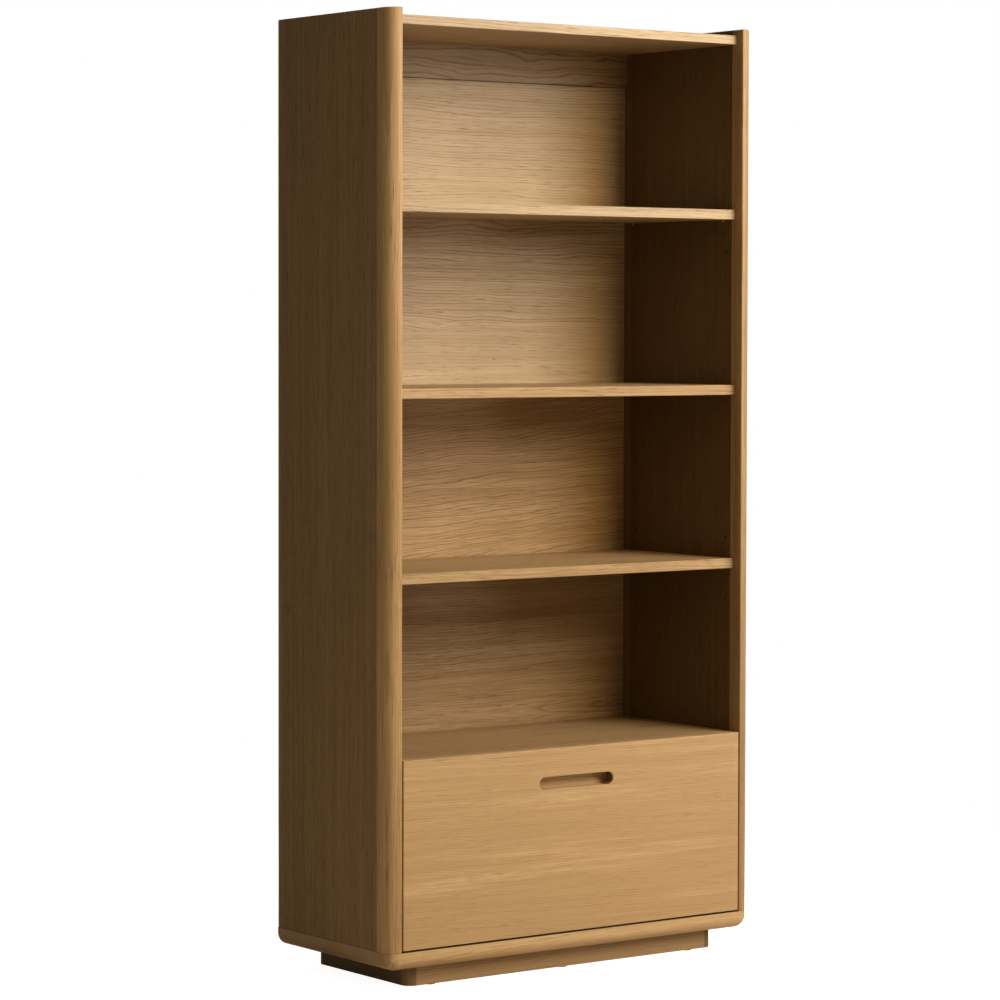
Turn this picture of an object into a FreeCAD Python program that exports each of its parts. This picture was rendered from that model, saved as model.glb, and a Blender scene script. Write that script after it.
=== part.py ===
import FreeCAD, Part
import math
import os

# An oak bookcase with four open bays over one deep drawer, in millimetres.
# The origin is the middle of the footprint on the floor. +Z is up, the front
# faces -Y, and +X is to the right of someone who stands in front of it.
# Left-hand pieces are modelled and mirrored in the plane X = 0 for the right.

# Overall sizes of the case
case_width = 888.0
case_depth = 384.0
side_height = 1775.0
side_thickness = 29.0
base_thickness = 35.0
plinth_height = 38.0

# Edges of the case
small_ease = 2.5
post_flat = 0.5
shelf_ease = 1.5
front_ease = 1.2
slot_ease = 1.8

# Side walls: a solid post at the front, a panel, and a solid post at the rear
front_post_depth = 44.0
front_tongue_length = 11.0
front_tongue_thickness = 10.0
rear_post_depth = 28.0
rear_skin_thickness = 10.0
rear_skin_length = 20.0

# Boards between the sides: heights above the base board's top, and the drop of the
# upper shelf's top below the top panel
board_thickness = 20.0
top_thickness = 18.0
top_drop = 11.5
top_setback = 20.0
shelf_setback = 22.0
bottom_shelf_height = 343.0
lower_shelf_height = 693.5
middle_shelf_height = 1043.0
upper_shelf_drop = 330.5
shelf_side_gap = 1.0
shelf_back_gap = 2.0

# Back: two thin panels in a rebate, under a thicker rail
back_thickness = 5.0
back_rebate_width = 10.0
back_rail_height = 70.0
back_rail_thickness = 12.0

# Holes and pins that carry the two loose shelves
pin_pitch = 64.0
pin_hole_radius = 2.5
pin_hole_depth = 10.0
pin_column_setback = 48.0
pin_radius = 2.44
pin_shank_length = 9.5
pin_plate_length = 10.0
pin_plate_width = 9.0
pin_plate_thickness = 5.0
pin_axis_drop = 1.5
pin_collar_radius = 4.5
pin_collar_thickness = 1.2

# Plinth under the base board
plinth_front_recess = 37.0
plinth_side_recess = 67.0
plinth_rail_thickness = 20.0
glue_block_side = 32.0
glue_block_recess = 4.0

# Floor glides, nailed to the plinth rails
glide_height = 2.0
glide_radius = 9.0
glide_nail_radius = 1.2
glide_nail_length = 14.0
glide_end_setback = 40.0

# Drawer front and its long finger slot
drawer_front_thickness = 20.0
drawer_gap = 3.0
drawer_rear_gap = 2.0
slot_length = 180.0
slot_height = 24.0
slot_drop = 67.5
finger_pocket_depth = 7.0
finger_pocket_margin = 8.0

# Drawer box
drawer_box_rise = 16.0
drawer_box_head_space = 16.0
drawer_box_rear_space = 14.0
drawer_side_thickness = 14.0
drawer_subfront_thickness = 15.0
drawer_bottom_thickness = 6.0
drawer_bottom_rise = 12.0
drawer_groove_depth = 6.0
drawer_groove_play = 0.2

# Drawer slides: three nested steel channels on each side
slide_rear_space = 5.0
slide_space = 13.0
slide_steel = 1.2
slide_height = 45.0
slide_front_setback = 24.0
slide_rise = 95.0
slide_web_gap = 1.8
slide_flange_depth = 11.5
slide_race_height = 3.0
slide_middle_shortfall = 7.0
cage_length = 120.0
cage_width = 5.0
cage_play = 0.3

# Dowels, screws and bumpers
dowel_radius = 4.0
dowel_length = 32.0
dowel_depth = 13.0
base_dowel_length = 44.0
base_dowel_depth = 22.0
box_dowel_radius = 3.0
box_dowel_length = 26.0
box_dowel_depth = 9.0
dowel_play = 0.1
hole_end_play = 0.5
screw_radius = 1.75
screw_head_radius = 3.5
screw_head_height = 1.4
screw_play = 0.05
slide_screw_length = 13.0
back_screw_length = 15.0
front_screw_length = 28.0
block_screw_length = 55.0
back_screw_pitch = 150.0
bumper_radius = 5.0
bumper_play = 0.3

# One overrun for every cut that has to pass a face
overrun = 2.0

# Places on the case, worked out from the sizes above
half_width = case_width / 2
inner_x = half_width - side_thickness
front_y = -case_depth / 2
rear_y = case_depth / 2
back_front_y = rear_y - back_thickness
plinth_top_z = glide_height + plinth_height
base_top_z = plinth_top_z + base_thickness
side_top_z = base_top_z + side_height
corner_radius = side_thickness - small_ease - post_flat
base_roll_radius = min(corner_radius, base_thickness) - post_flat
panel_front_y = front_y + front_post_depth
panel_tongue_y = panel_front_y - front_tongue_length
rear_post_y = rear_y - rear_post_depth
rear_skin_y = rear_post_y + rear_skin_length

# Places of the boards
top_panel_top_z = side_top_z - top_drop
top_panel_z = top_panel_top_z - top_thickness
bottom_shelf_z = base_top_z + bottom_shelf_height
lower_shelf_z = base_top_z + lower_shelf_height
middle_shelf_z = base_top_z + middle_shelf_height
upper_shelf_z = top_panel_z - upper_shelf_drop - board_thickness
shelf_front_y = front_y + shelf_setback
back_rail_z = top_panel_z - back_rail_height
back_rail_y = rear_y - back_rail_thickness
back_joint_z = middle_shelf_z + board_thickness / 2
back_seat_y = rear_y - screw_head_height

# Places of the pins
pin_front_y = front_y + pin_column_setback
pin_rear_y = rear_y - pin_column_setback
pin_columns = (pin_front_y, pin_rear_y)
loose_shelf_heights = (lower_shelf_z, upper_shelf_z)

# Places of the plinth
plinth_x = half_width - plinth_side_recess
plinth_front_y = front_y + plinth_front_recess
plinth_rear_y = rear_y - plinth_front_recess
plinth_inner_x = plinth_x - plinth_rail_thickness
plinth_inner_front_y = plinth_front_y + plinth_rail_thickness
plinth_inner_rear_y = plinth_rear_y - plinth_rail_thickness
glue_block_z = glide_height + glue_block_recess

# Places of the drawer
drawer_x = inner_x - drawer_gap
drawer_front_z = base_top_z + drawer_gap
drawer_front_top_z = bottom_shelf_z + board_thickness
drawer_back_face_y = front_y + drawer_front_thickness
slot_z = drawer_front_top_z - slot_drop
box_x = inner_x - slide_space
box_inner_x = box_x - drawer_side_thickness
box_front_y = drawer_back_face_y
box_inner_front_y = box_front_y + drawer_subfront_thickness
box_rear_y = back_front_y - drawer_box_rear_space
box_inner_rear_y = box_rear_y - drawer_side_thickness
box_z = drawer_front_z + drawer_box_rise
box_top_z = bottom_shelf_z - drawer_box_head_space
box_height = box_top_z - box_z
drawer_bottom_z = box_z + drawer_bottom_rise
cabinet_shelf_front_y = drawer_back_face_y + drawer_rear_gap

# Places of the slides
slide_y = front_y + slide_front_setback
slide_length = back_front_y - slide_rear_space - slide_y
slide_middle_length = slide_length - slide_middle_shortfall
slide_z = base_top_z + slide_rise
middle_half_height = slide_height / 2 - slide_steel - slide_race_height
inner_half_height = middle_half_height - slide_steel - slide_race_height
middle_web_gap = slide_steel + slide_web_gap
slide_screw_setback = slide_length / 10
slide_screw_ys = (slide_y + slide_screw_setback, slide_y + slide_length / 2,
                  slide_y + slide_length - slide_screw_setback)

# Directions
LEFTWARD = FreeCAD.Vector(-1, 0, 0)
RIGHTWARD = FreeCAD.Vector(1, 0, 0)
FORWARD = FreeCAD.Vector(0, -1, 0)
BACKWARD = FreeCAD.Vector(0, 1, 0)
UPWARD = FreeCAD.Vector(0, 0, 1)


def block(x0, x1, y0, y1, z0, z1):
    """A box between two corners."""
    return Part.makeBox(x1 - x0, y1 - y0, z1 - z0, FreeCAD.Vector(x0, y0, z0))


def rod(radius, x, y, z, direction, length):
    """A cylinder from a point along a direction."""
    return Part.makeCylinder(radius, length, FreeCAD.Vector(x, y, z), direction)


def mirrored(shape):
    """The right-hand twin of a left-hand piece."""
    return shape.mirror(FreeCAD.Vector(0, 0, 0), RIGHTWARD)


def save(node, *pieces):
    """Write every solid of the pieces to one file."""
    solids = [solid for piece in pieces for solid in piece.Solids]
    shape = solids[0] if len(solids) == 1 else Part.makeCompound(solids)
    shape.exportStep("parts/" + node + ".step")


def eased(solid, radius, wanted):
    """Round the edges whose middle point passes a test."""
    edges = [edge for edge in solid.Edges if wanted(edge, edge.CenterOfMass)]
    return solid.makeFillet(radius, edges)


def level(value, target):
    """Whether a place lies at a height, front or side."""
    return abs(value - target) < post_flat / 5


def lying(edge, direction):
    """Whether an edge is straight and runs along a direction."""
    if not isinstance(edge.Curve, Part.Line):
        return False
    return abs(abs(edge.Curve.Direction.dot(direction)) - 1) < 0.001


def screw(x, y, z, direction, length):
    """A pan-head screw: the head's seat is at the point, the shank runs on."""
    head_start = FreeCAD.Vector(x, y, z) - direction * screw_head_height
    head = Part.makeCylinder(screw_head_radius, screw_head_height, head_start, direction)
    shank = rod(screw_radius, x, y, z, direction, length)
    return head.fuse(shank).removeSplitter()


def screw_hole(x, y, z, direction, length):
    """The hole that the screw's shank goes into, a little deeper than the shank."""
    return rod(screw_radius + screw_play, x, y, z, direction, length + hole_end_play)


def quarter_post(centre_x, centre_y, radius, z0, z1, turn):
    """A quarter of a round post, turned about its centre by degrees."""
    centre = FreeCAD.Vector(centre_x, centre_y, z0)
    piece = Part.makeCylinder(radius, z1 - z0, centre, UPWARD, 90)
    piece.rotate(centre, UPWARD, turn)
    return piece


# Places that several pieces share

def case_dowel_places():
    """Left-end dowels of the top, middle and bottom boards: (y, z)."""
    heights = (top_panel_z + top_thickness / 2, middle_shelf_z + board_thickness / 2,
               bottom_shelf_z + board_thickness / 2)
    depths = (pin_front_y + dowel_length / 2, 0, pin_rear_y - dowel_length / 2)
    return [(y, z) for z in heights for y in depths]


def base_dowel_places():
    """Upright dowels between one side and the base board: y."""
    depth_shares = (1 / 6, 1 / 2, 5 / 6)
    span = rear_post_y - panel_front_y
    return [panel_front_y + span * share for share in depth_shares]


def back_screw_rows():
    """Heights of the back's screws into the rear posts, kept off the joints."""
    margin = back_rebate_width
    rows = []
    for low, high in ((base_top_z, back_joint_z), (back_joint_z, back_rail_z)):
        count = max(2, round((high - low) / back_screw_pitch))
        step = (high - low - 2 * margin) / (count - 1)
        rows += [low + margin + step * i for i in range(count)]
    return rows


def back_shelf_screws():
    """Screws through the back into the fixed boards: (x, z)."""
    heights = (back_joint_z - board_thickness / 4, back_joint_z + board_thickness / 4,
               bottom_shelf_z + board_thickness / 2)
    count = max(2, round(2 * inner_x / back_screw_pitch) - 1)
    step = 2 * inner_x / (count + 1)
    return [(step * (i + 1) - inner_x, z) for z in heights for i in range(count)]


def drawer_front_screw_places():
    """Screws from inside the drawer box into its front: (x, z)."""
    reach_share = 3 / 4
    height_share = 1 / 6
    reach = box_inner_x * reach_share
    low = box_z + box_height * height_share
    high = slot_z - slot_height / 2 - finger_pocket_margin * 2
    return [(x, z) for x in (-reach, reach) for z in (low, high)]


def box_dowel_heights():
    """Heights of the dowels at each corner of the drawer box."""
    height_shares = (1 / 4, 1 / 2, 3 / 4)
    return [box_z + box_height * share for share in height_shares]


# The two side walls

def front_post():
    """Left front post: quarter-round outside, rebated behind for the panel."""
    arc_side = FreeCAD.Vector(-half_width, front_y + corner_radius, base_top_z)
    arc_front = FreeCAD.Vector(corner_radius - half_width, front_y, base_top_z)
    inset = corner_radius * (1 - math.sqrt(0.5))
    arc_middle = FreeCAD.Vector(inset - half_width, front_y + inset, base_top_z)
    corners = [(-inner_x, front_y), (-inner_x, panel_tongue_y),
               (-inner_x - front_tongue_thickness, panel_tongue_y),
               (-inner_x - front_tongue_thickness, panel_front_y),
               (-half_width, panel_front_y)]
    points = [arc_front] + [FreeCAD.Vector(x, y, base_top_z) for x, y in corners] + [arc_side]
    edges = [Part.Arc(arc_side, arc_middle, arc_front).toShape()]
    edges += [Part.makeLine(a, b) for a, b in zip(points, points[1:])]
    post = Part.Face(Part.Wire(edges)).extrude(UPWARD * side_height)

    def rounded(edge, middle):
        inner_corner = level(middle.x, -inner_x) and level(middle.y, front_y)
        on_top = level(middle.z, side_top_z)
        joint = middle.y > panel_tongue_y - post_flat and middle.x > -half_width + post_flat
        rear_joint = level(middle.y, panel_front_y)
        return inner_corner or (on_top and not joint and not rear_joint)

    return eased(post, small_ease, rounded)


def side_panel():
    """Left panel, with a tongue at the front and a skin that laps the rear post."""
    body = block(-half_width, -inner_x, panel_front_y, rear_post_y, base_top_z, side_top_z)
    tongue = block(-inner_x - front_tongue_thickness, -inner_x, panel_tongue_y, panel_front_y,
                   base_top_z, side_top_z)
    skin = block(-half_width, rear_skin_thickness - half_width, rear_post_y, rear_skin_y,
                 base_top_z, side_top_z)
    panel = body.fuse([tongue, skin]).removeSplitter()

    def rounded(edge, middle):
        outside = level(middle.x, -half_width) or level(middle.x, -inner_x)
        return outside and level(middle.z, side_top_z) and lying(edge, BACKWARD)

    panel = eased(panel, small_ease, rounded)
    holes = [rod(pin_hole_radius, -inner_x, y, z - pin_axis_drop + pin_pitch * step, LEFTWARD,
                 pin_hole_depth)
             for z in loose_shelf_heights for step in (-1, 0, 1) for y in pin_columns]
    holes += [rod(dowel_radius + dowel_play, -inner_x, y, z, LEFTWARD, dowel_depth + hole_end_play)
              for y, z in case_dowel_places()]
    holes += [base_dowel_hole(y) for y in base_dowel_places()]
    holes += [screw_hole(-inner_x, y, slide_z, LEFTWARD, slide_screw_length)
              for y in slide_screw_ys]
    return panel.cut(holes)


def base_dowel_hole(y):
    """Hole in the left side and the base board for one upright dowel."""
    start_z = base_top_z - base_dowel_depth - hole_end_play
    length = base_dowel_length + 2 * hole_end_play
    return rod(dowel_radius + dowel_play, -inner_x - side_thickness / 2, y, start_z, UPWARD, length)


def rear_post():
    """Left rear post, rebated for the panel's skin and for the back."""
    body = block(rear_skin_thickness - half_width, -inner_x, rear_post_y, rear_y,
                 base_top_z, side_top_z)
    lip = block(-half_width, rear_skin_thickness - half_width, rear_skin_y, rear_y,
                base_top_z, side_top_z)
    post = body.fuse(lip).removeSplitter()
    rebate_x = -inner_x - back_rebate_width
    rebate = block(rebate_x, -inner_x + overrun, back_front_y, rear_y + overrun,
                   base_top_z - overrun, back_rail_z)
    post = post.cut(rebate)

    def rounded(edge, middle):
        rear_corner = level(middle.x, -half_width) and level(middle.y, rear_y)
        outside = level(middle.x, -half_width) or level(middle.x, -inner_x) or level(middle.y, rear_y)
        return rear_corner or (outside and level(middle.z, side_top_z))

    post = eased(post, small_ease, rounded)
    holes = [screw_hole(rebate_x + back_rebate_width / 2, back_seat_y, z, FORWARD, back_screw_length)
             for z in back_screw_rows()]
    return post.cut(holes)


# Boards between the sides

def fixed_board(y0, y1, z0, thickness):
    """A board glued between the sides, with its front edges eased and dowel holes."""
    board = block(-inner_x, inner_x, y0, y1, z0, z0 + thickness)
    board = eased(board, shelf_ease, lambda edge, middle: level(middle.y, y0) and lying(edge, RIGHTWARD))
    holes = []
    for y, z in case_dowel_places():
        if z0 < z < z0 + thickness:
            length = dowel_length - dowel_depth + hole_end_play
            hole = rod(dowel_radius + dowel_play, -inner_x, y, z, RIGHTWARD, length)
            holes += [hole, mirrored(hole)]
    holes += [screw_hole(x, back_seat_y, z, FORWARD, back_screw_length)
              for x, z in back_shelf_screws() if z0 < z < z0 + thickness]
    return board.cut(holes)


def loose_shelf(z0):
    """An adjustable shelf that rests on four pins."""
    half = inner_x - shelf_side_gap
    shelf = block(-half, half, shelf_front_y, back_front_y - shelf_back_gap, z0, z0 + board_thickness)
    return eased(shelf, shelf_ease, lambda edge, middle: lying(edge, RIGHTWARD)
                 and level(middle.y, shelf_front_y))


def shelf_pin(y, shelf_z):
    """A left-hand pin: a shank in the wall, a collar, and a flat plate."""
    axis_z = shelf_z - pin_axis_drop
    shank = rod(pin_radius, -inner_x, y, axis_z, LEFTWARD, pin_shank_length)
    collar = rod(pin_collar_radius, -inner_x, y, axis_z, RIGHTWARD, pin_collar_thickness)
    lid = block(-inner_x - overrun, -inner_x + pin_plate_length, y - pin_plate_width,
                y + pin_plate_width, shelf_z, shelf_z + pin_plate_width)
    plate = block(-inner_x, pin_plate_length - inner_x, y - pin_plate_width / 2,
                  y + pin_plate_width / 2, shelf_z - pin_plate_thickness, shelf_z)
    return shank.fuse([collar.cut(lid), plate]).removeSplitter()


def shelf_pins(shelf_z):
    """The four pins under one shelf."""
    left = [shelf_pin(y, shelf_z) for y in pin_columns]
    return left + [mirrored(pin) for pin in left]


# The back

def back_panel(z0, z1):
    """A thin back panel in the rebates, with its screw holes."""
    reach = inner_x + back_rebate_width
    panel = block(-reach, reach, back_front_y, rear_y, z0, z1)
    places = [(x, z) for x, z in back_screw_places() if z0 < z < z1]
    holes = [screw_hole(x, back_seat_y, z, FORWARD, back_screw_length) for x, z in places]
    sinks = [rod(screw_head_radius + screw_play, x, back_seat_y, z, BACKWARD,
                 screw_head_height + overrun) for x, z in places]
    return panel.cut(holes + sinks)


def back_rail():
    """The thicker rail under the top panel."""
    rail = block(-inner_x, inner_x, back_rail_y, rear_y, back_rail_z, top_panel_z)
    dowels = [rail_dowel_hole(), mirrored(rail_dowel_hole())]
    return rail.cut(dowels)


def rail_dowel(play, end_play):
    """A dowel, or its hole, between the back rail and the left rear post."""
    y = (back_rail_y + rear_y) / 2
    z = back_rail_z + back_rail_height / 2
    start = -inner_x - box_dowel_depth - end_play
    return rod(box_dowel_radius + play, start, y, z, RIGHTWARD, box_dowel_length + 2 * end_play)


def rail_dowel_hole():
    """The hole for the rail's left dowel."""
    return rail_dowel(dowel_play, hole_end_play)


def back_screw_places():
    """Every screw of the back: (x, z)."""
    column = inner_x + back_rebate_width / 2
    places = [(x, z) for z in back_screw_rows() for x in (-column, column)]
    return places + back_shelf_screws()


# Base and plinth

def base_board():
    """The board under the case, rolled under along its front and sides."""
    slab = block(-half_width, half_width, front_y, rear_y, plinth_top_z, base_top_z)

    def plan_corner(edge, middle):
        return lying(edge, UPWARD) and level(middle.y, front_y)

    slab = eased(slab, corner_radius, plan_corner)

    def under_edge(edge, middle):
        return level(middle.z, plinth_top_z) and middle.y < rear_y - post_flat

    slab = eased(slab, base_roll_radius, under_edge)
    holes = []
    for y in base_dowel_places():
        holes += [base_dowel_hole(y), mirrored(base_dowel_hole(y))]
    holes += [screw_hole(x, y, glue_block_z, UPWARD, block_screw_length)
              for x, y in glue_block_centres()]
    return slab.cut(holes)


def glue_block_centres():
    """Middle of each glue block in plan."""
    x = plinth_inner_x - glue_block_side / 2
    front = plinth_inner_front_y + glue_block_side / 2
    rear = plinth_inner_rear_y - glue_block_side / 2
    return [(side * x, y) for side in (-1, 1) for y in (front, rear)]


def glue_block(x, y):
    """A block inside one corner of the plinth, drilled for its screw."""
    half = glue_block_side / 2
    solid = block(x - half, x + half, y - half, y + half, glue_block_z, plinth_top_z)
    return solid.cut(screw_hole(x, y, glue_block_z, UPWARD, block_screw_length))


def glide_places():
    """Middle of each floor glide, under the long plinth rails."""
    x = plinth_inner_x - glide_end_setback
    half = plinth_rail_thickness / 2
    return [(place, y) for place in (-x, 0, x) for y in (plinth_front_y + half, plinth_rear_y - half)]


def glide(x, y):
    """A round glide with its nail."""
    disc = rod(glide_radius, x, y, 0, UPWARD, glide_height)
    nail = rod(glide_nail_radius, x, y, glide_height, UPWARD, glide_nail_length)
    return disc.fuse(nail).removeSplitter()


def long_plinth_rail(y0):
    """The front or rear rail of the plinth, drilled for the glides' nails."""
    y1 = y0 + plinth_rail_thickness
    rail = block(-plinth_inner_x, plinth_inner_x, y0, y1, glide_height, plinth_top_z)
    holes = [rod(glide_nail_radius + screw_play, x, y, glide_height, UPWARD,
                 glide_nail_length + hole_end_play)
             for x, y in glide_places() if y0 < y < y1]
    return rail.cut(holes)


def short_plinth_rail():
    """The left rail of the plinth."""
    return block(-plinth_x, -plinth_inner_x, plinth_inner_front_y, plinth_inner_rear_y,
                 glide_height, plinth_top_z)


# The drawer

def stadium(length, height, y0, y1, z):
    """A bar with round ends, lying along X and centred on X = 0."""
    half = (length - height) / 2
    bar = block(-half, half, y0, y1, z - height / 2, z + height / 2)
    ends = [rod(height / 2, x, y0, z, BACKWARD, y1 - y0) for x in (-half, half)]
    return bar.fuse(ends).removeSplitter()


def drawer_front():
    """The drawer's front, with the finger slot through it."""
    panel = block(-drawer_x, drawer_x, front_y, drawer_back_face_y, drawer_front_z,
                  drawer_front_top_z)
    panel = eased(panel, front_ease, lambda edge, middle: level(middle.y, front_y))
    slot = stadium(slot_length, slot_height, front_y - overrun, drawer_back_face_y + overrun, slot_z)
    panel = panel.cut(slot)
    reach = slot_length / 2 + slot_ease

    def slot_rim(edge, middle):
        near = abs(middle.x) < reach and abs(middle.z - slot_z) < slot_height
        return near and level(middle.y, front_y)

    panel = eased(panel, slot_ease, slot_rim)
    holes = [screw_hole(x, box_inner_front_y, z, FORWARD, front_screw_length)
             for x, z in drawer_front_screw_places()]
    return panel.cut(holes)


def drawer_subfront():
    """The drawer box's own front, with a pocket for fingertips behind the slot."""
    panel = block(-box_inner_x, box_inner_x, box_front_y, box_inner_front_y, box_z, box_top_z)
    margin = 2 * finger_pocket_margin
    pocket = stadium(slot_length + margin, slot_height + margin, box_front_y - overrun,
                     box_front_y + finger_pocket_depth, slot_z)
    holes = [screw_hole(x, box_inner_front_y, z, FORWARD, front_screw_length)
             for x, z in drawer_front_screw_places()]
    return panel.cut([pocket, bottom_groove()] + holes + box_dowel_holes())


def bottom_panel():
    """The drawer's bottom, a little short of the ends of its grooves."""
    reach = drawer_groove_depth - hole_end_play
    return block(-box_inner_x - reach, box_inner_x + reach, box_inner_front_y - reach,
                 box_inner_rear_y + reach, drawer_bottom_z, drawer_bottom_z + drawer_bottom_thickness)


def bottom_groove():
    """The groove that holds the drawer's bottom."""
    reach = drawer_groove_depth
    return block(-box_inner_x - reach, box_inner_x + reach, box_inner_front_y - reach,
                 box_inner_rear_y + reach, drawer_bottom_z,
                 drawer_bottom_z + drawer_bottom_thickness + drawer_groove_play)


def box_dowels(play, end_play):
    """Dowels of the drawer box's four corners, or the holes for them."""
    rows = (box_front_y + drawer_subfront_thickness / 2, box_inner_rear_y + drawer_side_thickness / 2)
    start = -box_inner_x - box_dowel_depth - end_play
    length = box_dowel_length + 2 * end_play
    left = [rod(box_dowel_radius + play, start, y, z, RIGHTWARD, length)
            for y in rows for z in box_dowel_heights()]
    return left + [mirrored(dowel) for dowel in left]


def box_dowel_holes():
    """The holes for the drawer box's dowels."""
    return box_dowels(dowel_play, hole_end_play)


def drawer_side():
    """The left side of the drawer box."""
    side = block(-box_x, -box_inner_x, box_front_y, box_rear_y, box_z, box_top_z)
    holes = [screw_hole(-box_x - slide_steel, y, slide_z, RIGHTWARD, slide_screw_length)
             for y in slide_screw_ys]
    return side.cut([bottom_groove()] + holes + box_dowel_holes())


def drawer_back():
    """The back of the drawer box."""
    panel = block(-box_inner_x, box_inner_x, box_inner_rear_y, box_rear_y, box_z, box_top_z)
    return panel.cut([bottom_groove()] + box_dowel_holes())


def bumper(x):
    """A rubber disc that the closed drawer front meets."""
    thickness = drawer_rear_gap - bumper_play
    return rod(bumper_radius, x, cabinet_shelf_front_y - thickness, bottom_shelf_z + board_thickness / 2,
               BACKWARD, thickness)


# The slides

def channel(web_x, flange_x, half_height, y0, length):
    """A steel channel: a web at one side and two flanges towards the other."""
    low_x, high_x = sorted((web_x, flange_x))
    solid = block(low_x, high_x, y0, y0 + length, slide_z - half_height, slide_z + half_height)
    toward = math.copysign(slide_steel, flange_x - web_x)
    cut_x = sorted((web_x + toward, flange_x + math.copysign(overrun, flange_x - web_x)))
    inner = half_height - slide_steel
    hollow = block(cut_x[0], cut_x[1], y0 - overrun, y0 + length + overrun,
                   slide_z - inner, slide_z + inner)
    return solid.cut(hollow)


def slide_cabinet_member():
    """The left channel that is screwed to the side panel."""
    member = channel(-inner_x, slide_flange_depth - inner_x, slide_height / 2, slide_y, slide_length)
    return member.cut([screw_hole(slide_steel - inner_x, y, slide_z, LEFTWARD, slide_screw_length)
                       for y in slide_screw_ys])


def slide_middle_member():
    """The left channel that runs between the other two."""
    return channel(middle_web_gap - inner_x, slide_flange_depth - inner_x, middle_half_height,
                   slide_y, slide_middle_length)


def slide_drawer_member():
    """The left channel that is screwed to the drawer."""
    tips = middle_web_gap + slide_steel + slide_web_gap / 2 - inner_x
    member = channel(-box_x, tips, inner_half_height, slide_y, slide_length)
    return member.cut([screw_hole(-box_x - slide_steel, y, slide_z, RIGHTWARD, slide_screw_length)
                       for y in slide_screw_ys])


def ball_cages(half_height):
    """The two ball cages in the races above and below one left channel of this half height."""
    y0 = slide_y + (slide_length - cage_length) / 2
    x0 = slide_flange_depth - cage_width - cage_play - inner_x
    gap = slide_race_height - 2 * cage_play
    low = half_height + cage_play
    upper = block(x0, x0 + cage_width, y0, y0 + cage_length, slide_z + low, slide_z + low + gap)
    lower = block(x0, x0 + cage_width, y0, y0 + cage_length, slide_z - low - gap, slide_z - low)
    return [upper, lower]


def case_dowels():
    """Every dowel of the case."""
    left = [rod(dowel_radius, -inner_x - dowel_depth, y, z, RIGHTWARD, dowel_length)
            for y, z in case_dowel_places()]
    left += [rod(dowel_radius, -inner_x - side_thickness / 2, y, base_top_z - base_dowel_depth,
                 UPWARD, base_dowel_length) for y in base_dowel_places()]
    left.append(rail_dowel(0, 0))
    return left + [mirrored(dowel) for dowel in left]


def slide_screws(x, direction):
    """The screws of one slide member on both sides."""
    left = [screw(x, y, slide_z, direction, slide_screw_length) for y in slide_screw_ys]
    return left + [mirrored(piece) for piece in left]


os.makedirs("parts", exist_ok=True)

# Case
for name, make in (("side_panel", side_panel), ("front_post", front_post)):
    save("left_" + name, make())
    save("right_" + name, mirrored(make()))
left_rear_post = rear_post().cut(rail_dowel_hole())
save("left_rear_post", left_rear_post)
save("right_rear_post", mirrored(left_rear_post))
save("top_panel", fixed_board(front_y + top_setback, rear_y, top_panel_z, top_thickness))
save("middle_shelf", fixed_board(shelf_front_y, back_front_y, middle_shelf_z, board_thickness))
save("bottom_shelf", fixed_board(cabinet_shelf_front_y, back_front_y, bottom_shelf_z, board_thickness))
save("back_top_rail", back_rail())
save("upper_back_panel", back_panel(back_joint_z, back_rail_z))
save("lower_back_panel", back_panel(base_top_z, back_joint_z))
save("base_board", base_board())

# Loose shelves and their pins
save("upper_shelf", loose_shelf(upper_shelf_z))
save("lower_shelf", loose_shelf(lower_shelf_z))
save("upper_shelf_pins", *shelf_pins(upper_shelf_z))
save("lower_shelf_pins", *shelf_pins(lower_shelf_z))

# Plinth
save("plinth_front_rail", long_plinth_rail(plinth_front_y))
save("plinth_rear_rail", long_plinth_rail(plinth_inner_rear_y))
save("plinth_left_rail", short_plinth_rail())
save("plinth_right_rail", mirrored(short_plinth_rail()))
for name, y, turn in (("front", plinth_inner_front_y, 180), ("rear", plinth_inner_rear_y, 90)):
    corner = quarter_post(-plinth_inner_x, y, plinth_rail_thickness, glide_height, plinth_top_z, turn)
    save("plinth_left_" + name + "_corner", corner)
    save("plinth_right_" + name + "_corner", mirrored(corner))
save("plinth_glue_blocks", *[glue_block(x, y) for x, y in glue_block_centres()])
save("floor_glides", *[glide(x, y) for x, y in glide_places()])

# Drawer
save("drawer_front", drawer_front())
save("drawer_subfront", drawer_subfront())
save("drawer_left_side", drawer_side())
save("drawer_right_side", mirrored(drawer_side()))
save("drawer_back", drawer_back())
save("drawer_bottom", bottom_panel())
save("drawer_dowels", *box_dowels(0, 0))
save("drawer_bumpers", *[bumper(x) for x in (-box_inner_x, box_inner_x)])

# Slides
for name, make in (("cabinet_member", slide_cabinet_member), ("middle_member", slide_middle_member),
                   ("drawer_member", slide_drawer_member)):
    save("left_slide_" + name, make())
    save("right_slide_" + name, mirrored(make()))
for name, half_height in (("outer", middle_half_height), ("inner", inner_half_height)):
    cages = ball_cages(half_height)
    save("left_slide_" + name + "_ball_cages", *cages)
    save("right_slide_" + name + "_ball_cages", *[mirrored(cage) for cage in cages])

# Fasteners
save("case_dowels", *case_dowels())
save("back_screws", *[screw(x, back_seat_y, z, FORWARD, back_screw_length)
                      for x, z in back_screw_places()])
save("plinth_screws", *[screw(x, y, glue_block_z, UPWARD, block_screw_length)
                        for x, y in glue_block_centres()])
save("drawer_front_screws", *[screw(x, box_inner_front_y, z, FORWARD, front_screw_length)
                              for x, z in drawer_front_screw_places()])
save("slide_cabinet_screws", *slide_screws(slide_steel - inner_x, LEFTWARD))
save("slide_drawer_screws", *slide_screws(-box_x - slide_steel, RIGHTWARD))
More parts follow.
